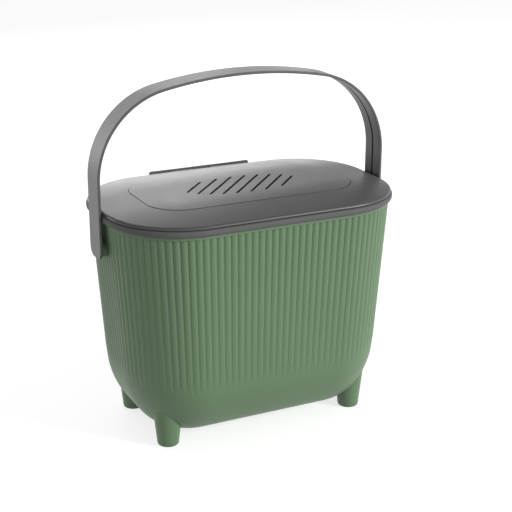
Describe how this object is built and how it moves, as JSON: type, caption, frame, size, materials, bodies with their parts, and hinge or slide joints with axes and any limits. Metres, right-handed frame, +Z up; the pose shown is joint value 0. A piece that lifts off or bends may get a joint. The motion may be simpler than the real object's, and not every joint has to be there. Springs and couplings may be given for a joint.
{
  "type": "kitchen compost caddy",
  "caption": "Reeded oblong worktop compost caddy on peg feet, with a hinged vented lid, a carbon filter under a lift-off vent cover, and a strap handle that swings over the top.",
  "frame": {"origin": "on the surface that the feet stand on, under the middle of the whole object's box", "axes": "+X along the long side to the right seen from the front, -Y to the front, +Y to the hinge, +Z up"},
  "size_m": [0.279, 0.1818, 0.3217],
  "materials": {
    "green_plastic": "fine satin moulded texture",
    "grey_plastic": "fine satin moulded texture",
    "handle_plastic": "fine satin moulded texture",
    "tray_plastic": "satin",
    "carbon_felt": "needled felt",
    "seal_rubber": "matte",
    "pin_steel": "drawn wire"
  },
  "bodies": {
    "bucket_body": {"bucket": "green_plastic", "foot_front_left": "green_plastic", "foot_front_right": "green_plastic", "foot_rear_left": "green_plastic", "foot_rear_right": "green_plastic", "rim_collar": "grey_plastic", "hinge_pin": "pin_steel"},
    "lid_body": {"lid": "grey_plastic", "lid_seal": "seal_rubber", "filter_tray": "tray_plastic", "filter_pad": "carbon_felt"},
    "cover_body": {"vent_cover": "grey_plastic"},
    "handle_body": {"handle": "handle_plastic", "pivot_cap_left": "handle_plastic", "pivot_cap_right": "handle_plastic"}
  },
  "joints": [
    {"name": "handle_swing", "type": "hinge", "parent": "bucket_body", "child": "handle_body", "pos_m": [0, -0.00475, 0.1785], "axis": [1, 0, 0], "range_deg": [-135, 135]},
    {"name": "lid_hinge", "type": "hinge", "parent": "bucket_body", "child": "lid_body", "pos_m": [0, 0.08645, 0.209], "axis": [-1, 0, 0], "range_deg": [0, 20]},
    {"name": "vent_cover_lift", "type": "slide", "parent": "lid_body", "child": "cover_body", "axis": [0, 0, 1], "range_m": [0, 0.03]}
  ]
}
